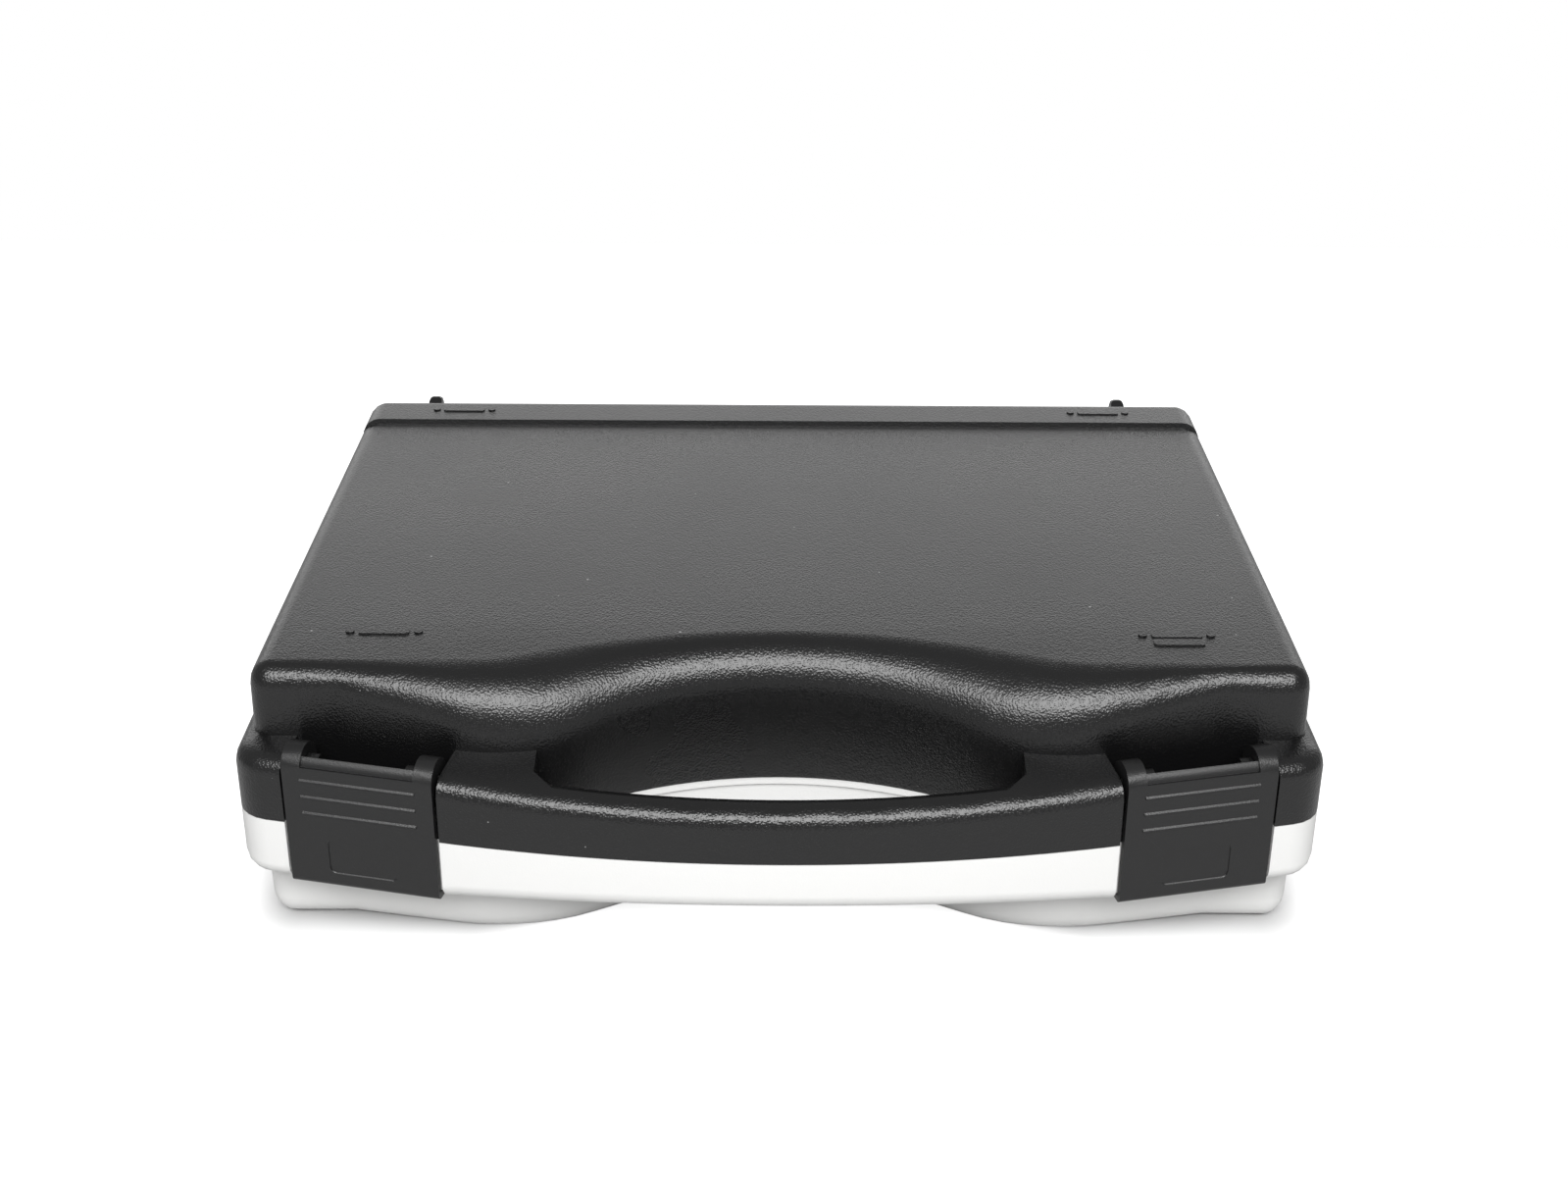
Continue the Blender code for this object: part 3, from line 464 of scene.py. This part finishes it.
@dataclass(frozen=True)
class MouldedPlastic:
    """Injection-moulded polypropylene with the grain of its mould."""

    name: str
    colour: Triple
    roughness: float
    roughness_spread: float
    pebbles: float
    relief: float
    strength: float
    dust: Triple
    dust_share: float
    specular: float = 0.5
    dust_roughness: float = 0.3

    def material(self, effects: EffectLibrary) -> bpy.types.Material:
        """Builds the material.

        Args:
            effects: The shared effects.

        Returns:
            The material.
        """
        made, graph, shader = new_material(self.name)
        place = graph.place()
        grain = self._effect(graph, effects.grain, place, {"Pebbles per metre": self.pebbles})
        dust = self._effect(graph, effects.dust, place, {"Share": self.dust_share})
        flow = self._effect(graph, effects.flow, place, {})
        even = graph.maths("MULTIPLY_ADD", flow, self.roughness_spread, self.roughness)
        graph.fill(
            shader,
            {
                "Base Color": graph.mix(dust, self.colour, self.dust),
                "Roughness": graph.maths("MULTIPLY_ADD", dust, self.dust_roughness, even),
                "Specular IOR Level": self.specular,
            },
        )
        graph.relief(shader, grain, self.strength, self.relief)
        return made

    @staticmethod
    def _effect(
        graph: NodeGraph,
        group: bpy.types.NodeTree,
        place: bpy.types.NodeSocket,
        values: dict[str, float],
    ) -> bpy.types.NodeSocket:
        """Places a shared effect in the material.

        Args:
            graph: The material's graph.
            group: The effect's group.
            place: The position that it reads.
            values: Its inputs by name.

        Returns:
            Its output.
        """
        node = graph.add("ShaderNodeGroup", node_tree=group)
        return graph.fill(node, {"Position": place, **values}).outputs[0]


LID_BLACK = MouldedPlastic(
    name="grained_black_polypropylene",
    colour=(0.0035, 0.0035, 0.0037),
    roughness=0.26,
    roughness_spread=0.04,
    pebbles=1250.0,
    relief=0.09 * MM,
    strength=1.0,
    dust=(0.3, 0.3, 0.3),
    dust_share=0.8,
    specular=0.66,
)
LATCH_BLACK = MouldedPlastic(
    name="fine_black_polypropylene",
    colour=(0.007, 0.007, 0.0073),
    roughness=0.3,
    roughness_spread=0.05,
    pebbles=1800.0,
    relief=0.04 * MM,
    strength=0.6,
    dust=(0.3, 0.3, 0.3),
    dust_share=0.3,
    specular=0.62,
)
BASE_WHITE = MouldedPlastic(
    name="natural_white_polypropylene",
    colour=(0.76, 0.76, 0.75),
    roughness=0.42,
    roughness_spread=0.06,
    pebbles=1400.0,
    relief=0.05 * MM,
    strength=0.3,
    dust=(0.8, 0.8, 0.78),
    dust_share=0.0,
)


@dataclass(frozen=True)
class PlatedSteel:
    """Drawn steel wire with a zinc plating."""

    name: str = "zinc_plated_steel"
    colour: Triple = (0.62, 0.62, 0.6)
    dark_share: float = 0.8
    roughness: float = 0.3
    roughness_spread: float = 0.12
    scratches: float = 2600.0
    scratch_range: Range = (0.3, 0.7)

    def material(self) -> bpy.types.Material:
        """Builds the material, with fine mottling in colour and roughness."""
        made, graph, shader = new_material(self.name)
        noise = graph.add("ShaderNodeTexNoise")
        graph.fill(noise, {"Vector": graph.place(), "Scale": self.scratches})
        tone = graph.span(noise.outputs["Fac"], self.scratch_range)
        darker = tuple(channel * self.dark_share for channel in self.colour)
        rough = graph.maths("MULTIPLY_ADD", tone, self.roughness_spread, self.roughness)
        base = graph.mix(tone, darker, self.colour)
        graph.fill(shader, {"Base Color": base, "Roughness": rough, "Metallic": 1.0})
        return made


@dataclass(frozen=True)
class CutFoam:
    """Open-cell foam, cut with a blade."""

    name: str = "open_cell_foam"
    colour: Triple = (0.055, 0.055, 0.06)
    # The pores' darker colour is painted shade in the pores.
    pore_painted_shade: Triple = (0.012, 0.012, 0.013)
    roughness: float = 0.95
    specular: float = 0.2
    pores: float = 1100.0
    pore_range: Range = (0.15, 0.6)
    relief: float = 0.9 * MM
    strength: float = 0.8

    def material(self) -> bpy.types.Material:
        """Builds the material, with its pores in relief and painted darker: painted shade in the
        pores.
        """
        made, graph, shader = new_material(self.name)
        cells = graph.add("ShaderNodeTexVoronoi", feature="F1")
        graph.fill(cells, {"Vector": graph.place(), "Scale": self.pores})
        wall = graph.span(cells.outputs["Distance"], self.pore_range)
        # Painted shade: each pore is darker towards its sunken middle.
        graph.fill(
            shader,
            {
                "Base Color": graph.mix(wall, self.pore_painted_shade, self.colour),
                "Roughness": self.roughness,
                "Specular IOR Level": self.specular,
            },
        )
        graph.relief(shader, wall, self.strength, self.relief)
        return made


# Sub-assemblies


@dataclass
class MouldedShells:
    """The lid and the base, each one moulding with its half of the handle and its feet."""

    nodes: Nodes
    smooth_angle: float = 25.0
    riser_foot: float = 122.4 * MM
    riser_shift: float = 1.2 * MM
    panel_height: float = 95 * MM
    near: float = 0.1 * MM

    def build(self, black: bpy.types.Material, white: bpy.types.Material) -> None:
        """Builds both shells.

        Args:
            black: The lid's material.
            white: The base's material.
        """
        for node, body, slot, finish in (
            ("lid_shell", Body.LID, Slot.BLACK, black),
            ("base_shell", Body.BASE, Slot.WHITE, white),
        ):
            piece = merged_copy(self.nodes[node], f"{node}_moulding")
            if body is Body.LID:
                self._steepen_riser(piece)
            smooth(piece, self.smooth_angle)
            settle(piece, body, slot, finish, node)

    def _steepen_riser(self, piece: bpy.types.Object) -> None:
        """Moves the foot of the riser behind the sunk panel back, so that it is steeper.

        Args:
            piece: The lid's joined copy.
        """
        moved = 0
        for vertex in piece.data.vertices:
            at_foot = abs(vertex.co.y - self.riser_foot) < self.near
            if at_foot and vertex.co.z > self.panel_height:
                vertex.co.y += self.riser_shift
                moved += 1
        piece.data.update()
        LOG.info("%s: %d points moved on its riser", piece.name, moved)


@dataclass
class Latches:
    """The two latches on the front of the lid's rim."""

    nodes: Nodes
    edge: float = 0.3 * MM
    edge_angle: float = 28.0
    smooth_angle: float = 24.0
    parting: float = 54 * MM
    line_tops: tuple[float, ...] = (19.4 * MM, 12.6 * MM, 5.8 * MM)
    line_half: float = 0.6 * MM
    line_lift: float = 0.12 * MM
    line_least: float = 0.15 * MM
    field_foot: float = -18.6 * MM
    field_depth: float = 0.4 * MM
    near: float = 0.06 * MM
    front_turn: float = -0.8
    front_tilt: float = 0.01

    def build(self, black: bpy.types.Material) -> None:
        """Builds both latches.

        Args:
            black: Their material.
        """
        for node, body in (("latch_left", Body.LATCH_LEFT), ("latch_right", Body.LATCH_RIGHT)):
            piece = merged_copy(self.nodes[node], f"{node}_moulding")
            with whole_mesh(piece):
                bpy.ops.mesh.quads_convert_to_tris(quad_method="BEAUTY", ngon_method="BEAUTY")
            self._slope_lines(piece)
            round_edges(piece, self.edge, self.edge_angle)
            smooth(piece, self.smooth_angle)
            settle(piece, body, Slot.BLACK, black, node)

    def _plate(self, piece: bpy.types.Object) -> bpy.types.MeshPolygon:
        """The largest upright face on the latch's front.

        Args:
            piece: The latch's joined copy.

        Returns:
            The face.
        """
        front = [
            face
            for face in piece.data.polygons
            if face.normal.y < self.front_turn and abs(face.normal.z) < self.front_tilt
        ]
        return max(front, key=lambda face: face.area)

    def _slope_lines(self, piece: bpy.types.Object) -> None:
        """Gives the grip lines and the foot of the sunk field slopes that catch the light.

        Args:
            piece: The latch's joined copy.
        """
        plate = self._plate(piece)
        outward = plate.normal.copy()
        depth = plate.center.dot(outward)
        moved = 0
        for vertex in piece.data.vertices:
            proud = vertex.co.dot(outward) - depth
            height = vertex.co.z - self.parting
            if abs(proud) < self.near and abs(height - self.field_foot) < self.near:
                vertex.co.z -= self.field_depth
                moved += 1
            for top in self.line_tops:
                rise = height - top
                if proud > self.line_least and abs(rise - self.line_half) < self.near:
                    vertex.co -= outward * proud
                    vertex.co.z += self.line_lift
                    moved += 1
                elif proud > self.line_least and abs(rise - self.line_half / 2) < self.near:
                    vertex.co.z -= self.line_half / 2
                    moved += 1
        LOG.info("%s: %d points moved on its lines", piece.name, moved)
        with whole_mesh(piece):
            bpy.ops.mesh.remove_doubles(threshold=MERGE_DISTANCE)


@dataclass
class Pins:
    """The latch rods and the hinge pins, cut from wire with a round at each end."""

    nodes: Nodes
    rod_radius: float = 1.5 * MM
    pin_radius: float = 1.6 * MM
    end_round: float = 0.4 * MM
    end_angle: float = 60.0
    end_reach: float = 2.5
    smooth_angle: float = 35.0
    sides: int = 32

    def build(self, steel: bpy.types.Material) -> None:
        """Builds all four.

        Args:
            steel: Their material.
        """
        for side in ("left", "right"):
            self._wire(f"latch_rod_{side}", self.rod_radius, Body.LID, steel)
            self._wire(f"hinge_pin_{side}", self.pin_radius, Body.BASE, steel)

    def _wire(self, node: str, radius: float, body: Body, steel: bpy.types.Material) -> None:
        """Builds one wire between the ends of its node.

        Args:
            node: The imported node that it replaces.
            radius: The wire's radius.
            body: The body that it rides on.
            steel: Its material.
        """
        points = [vertex.co.copy() for vertex in self.nodes[node].data.vertices]
        outermost = (
            min(points, key=lambda point: point.x),
            max(points, key=lambda point: point.x),
        )
        start, end = (
            self._middle([p for p in points if (p - far).length < radius * self.end_reach])
            for far in outermost
        )
        run = end - start
        bpy.ops.object.select_all(action="DESELECT")
        bpy.ops.mesh.primitive_cylinder_add(
            vertices=self.sides,
            radius=radius,
            depth=run.length,
            location=(start + end) / 2,
            rotation=run.to_track_quat("Z", "Y").to_euler(),
        )
        piece = bpy.context.object
        piece.name = f"{node}_wire"
        round_edges(piece, self.end_round, self.end_angle)
        bpy.ops.object.transform_apply(location=True, rotation=True, scale=True)
        smooth(piece, self.smooth_angle)
        settle(piece, body, Slot.STEEL, steel, node)

    @staticmethod
    def _middle(points: list[Vector]) -> Vector:
        """The middle of some points' box."""
        low = Vector(min(point[i] for point in points) for i in range(3))
        high = Vector(max(point[i] for point in points) for i in range(3))
        return (low + high) / 2


@dataclass
class FoamLiners:
    """The base's cut-out foam and the lid's egg-crate foam."""

    nodes: Nodes
    voxel: float = 3 * MM
    soften_factor: float = 0.5
    soften_rounds: int = 2
    smooth_angle: float = 60.0
    pitch: float = 24 * MM
    valley: float = 12 * MM
    margin: float = 14 * MM
    front_margin: float = 28 * MM

    def build(self, foam: bpy.types.Material) -> None:
        """Builds both liners.

        Args:
            foam: Their material.
        """
        base = self._soft_copy("base_foam", "base_foam_tray")
        settle(base, Body.BASE, Slot.FOAM, foam, "base_foam")
        lid = self._soft_copy("lid_foam", "lid_foam_crate")
        self._crate(lid)
        settle(lid, Body.LID, Slot.FOAM, foam, "lid_foam")

    def _soft_copy(self, node: str, name: str) -> bpy.types.Object:
        """Copies a liner's block with its cut edges slightly soft.

        Args:
            node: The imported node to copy.
            name: The new piece's name.

        Returns:
            The new piece.
        """
        piece = merged_copy(self.nodes[node], name)
        remesh = piece.modifiers.new("even_mesh", "REMESH")
        remesh.mode = "VOXEL"
        remesh.voxel_size = self.voxel
        soften = piece.modifiers.new("soft_edges", "SMOOTH")
        soften.factor = self.soften_factor
        soften.iterations = self.soften_rounds
        apply_all(piece)
        smooth(piece, self.smooth_angle)
        return piece

    def _crate(self, piece: bpy.types.Object) -> None:
        """Presses the egg-crate's valleys into the face that looks down on the laptop."""
        low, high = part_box("lid_foam")
        for vertex in piece.data.vertices:
            x, y, z = vertex.co
            if z > low[2] + self.valley:
                continue
            inside = min(x - low[0], high[0] - x, high[1] - y, y - low[1] - self.front_margin)
            share = max(0.0, min(1.0, inside / self.margin))
            wave = math.cos(math.tau * x / self.pitch) * math.cos(math.tau * y / self.pitch)
            vertex.co.z += share * self.valley * (1.0 - wave) / 2
        piece.data.update()


# Stage


@dataclass(frozen=True)
class Softbox:
    """A soft lamp over the stage, with its power in watts."""

    name: str
    place: Triple
    target: Triple
    size: Range
    power: float


@dataclass
class Studio:
    """The pale floor, the white surroundings, the lamps and the camera."""

    camera_place: Triple = (-0.0012, -0.80885, 0.4783)
    pitch: float = math.radians(26.156)
    yaw: float = math.radians(0.186)
    roll: float = math.radians(0.37)
    lens: float = 49.53
    sensor: float = 36.0
    clip_start: float = 10 * MM
    floor_size: float = 1.5
    floor_drop: float = 0.2 * MM
    floor_tone: float = 0.5
    floor_roughness: float = 0.9
    floor_specular: float = 0.1
    dome: float = 0.31
    # Painted light on the floor: a glow seen by the camera, its strength and fade, and the
    # scalloped footprint round the case where it starts.
    lift: float = 0.9
    lift_run: float = 35 * MM
    footprint_half_width: float = 183 * MM
    footprint_half_length: Range = (86 * MM, 118 * MM)
    footprint_shift: float = 4 * MM
    scallop: Range = (60 * MM, 120 * MM)
    lamps: tuple[Softbox, ...] = (
        Softbox("backdrop", (0.0, 1.7, 0.55), (0.0, 0.0, 0.55), (3.2, 1.1), 10.6),
        Softbox("front_top", (0.03, -1.15, 1.17), (0.0, -0.11, 0.09), (1.85, 0.75), 36.0),
    )

    def build(self) -> None:
        """Builds the whole stage."""
        self._camera()
        self._world()
        self._floor()
        for lamp in self.lamps:
            self._lamp(lamp)
        bpy.context.scene.view_settings.view_transform = "Standard"

    def _camera(self) -> None:
        """Places the camera at the photograph's view."""
        ahead = Vector((
            math.sin(self.yaw) * math.cos(self.pitch),
            math.cos(self.yaw) * math.cos(self.pitch),
            -math.sin(self.pitch),
        ))
        level = Vector((math.cos(self.yaw), -math.sin(self.yaw), 0.0))
        above = level.cross(ahead)
        right = level * math.cos(self.roll) + above * math.sin(self.roll)
        up = above * math.cos(self.roll) - level * math.sin(self.roll)
        data = bpy.data.cameras.new("photo_view")
        data.lens = self.lens
        data.sensor_width = self.sensor
        data.clip_start = self.clip_start
        camera = bpy.data.objects.new("photo_view", data)
        bpy.context.scene.collection.objects.link(camera)
        turn = Matrix((right, up, -ahead)).transposed()
        camera.matrix_world = Matrix.Translation(self.camera_place) @ turn.to_4x4()
        bpy.context.scene.camera = camera

    def _world(self) -> None:
        """Makes the surroundings white to the eye, and plain and dimmer as a light."""
        world = bpy.data.worlds.new("white_surroundings")
        world.use_nodes = True
        bpy.context.scene.world = world
        graph = NodeGraph(world.node_tree)
        seen = graph.add("ShaderNodeLightPath").outputs["Is Camera Ray"]
        strength = graph.maths("MAXIMUM", seen, self.dome)
        background = world.node_tree.nodes["Background"]
        graph.fill(background, {"Color": WHITE_LIGHT, "Strength": strength})

    def _floor(self) -> None:
        """Makes the pale floor, with a painted glow that only the camera sees: it lifts the
        floor to white away from the case and fades out at a footprint round the case, so it
        hides part of the case's real shadow and leaves the rest.
        """
        bpy.ops.object.select_all(action="DESELECT")
        bpy.ops.mesh.primitive_plane_add(
            size=self.floor_size, location=(0.0, 0.0, -self.floor_drop)
        )
        floor = bpy.context.object
        floor.name = "floor"
        made, graph, shader = new_material("white_paper")
        # Painted light: the floor glows for camera rays, from nothing at the footprint to full
        # strength beyond it, and so lifts part of the case's real shadow.
        clear = graph.span(self._clearance(graph), (0.0, self.lift_run), (0.0, self.lift))
        seen = graph.add("ShaderNodeLightPath").outputs["Is Camera Ray"]
        graph.fill(
            shader,
            {
                "Base Color": (self.floor_tone, self.floor_tone, self.floor_tone, 1.0),
                "Roughness": self.floor_roughness,
                "Specular IOR Level": self.floor_specular,
                "Emission Color": WHITE_LIGHT,
                "Emission Strength": graph.maths("MULTIPLY", seen, clear),
            },
        )
        floor.data.materials.append(made)
        floor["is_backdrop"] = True

    def _clearance(self, graph: NodeGraph) -> bpy.types.NodeSocket:
        """The distance of a place on the floor from the case's footprint, where the painted glow
        starts.

        Args:
            graph: The floor material's graph.

        Returns:
            The distance's socket.
        """
        parts = graph.add("ShaderNodeSeparateXYZ")
        graph.feed(parts.inputs[0], graph.place())
        across = graph.maths("ABSOLUTE", parts.outputs["X"])
        shifted = graph.maths("SUBTRACT", parts.outputs["Y"], self.footprint_shift)
        along = graph.maths("ABSOLUTE", shifted)
        half_length = graph.span(across, self.scallop, self.footprint_half_length)
        beyond = []
        for place, half in ((across, self.footprint_half_width), (along, half_length)):
            past = graph.maths("MAXIMUM", graph.maths("SUBTRACT", place, half), 0.0)
            beyond.append(graph.maths("POWER", past, 2.0))
        return graph.maths("SQRT", graph.maths("ADD", *beyond))

    @staticmethod
    def _lamp(lamp: Softbox) -> None:
        """Places a soft lamp and aims it."""
        data = bpy.data.lights.new(lamp.name, "AREA")
        data.shape = "RECTANGLE"
        data.size, data.size_y = lamp.size
        data.energy = lamp.power
        made = bpy.data.objects.new(lamp.name, data)
        bpy.context.scene.collection.objects.link(made)
        aim = (Vector(lamp.target) - Vector(lamp.place)).to_track_quat("-Z", "Y")
        made.matrix_world = Matrix.Translation(lamp.place) @ aim.to_matrix().to_4x4()


def note_sizes(stage: str, sizes: dict[str, list]) -> None:
    low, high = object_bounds()
    sizes[stage] = [[float(value) for value in low], [float(value) for value in high]]


def main() -> None:
    """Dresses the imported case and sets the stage."""
    logging.basicConfig(level=logging.INFO, format="%(name)s %(message)s")
    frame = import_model()
    nodes: Nodes = frame["nodes"]
    sizes: dict[str, list] = {}
    note_sizes("cad", sizes)
    effects = EffectLibrary()
    lid_black = LID_BLACK.material(effects)
    latch_black = LATCH_BLACK.material(effects)
    base_white = BASE_WHITE.material(effects)
    MouldedShells(nodes).build(lid_black, base_white)
    Latches(nodes).build(latch_black)
    Pins(nodes).build(PlatedSteel().material())
    FoamLiners(nodes).build(CutFoam().material())
    Studio().build()
    note_sizes("dressed", sizes)


if __name__ == "__main__":
    main()
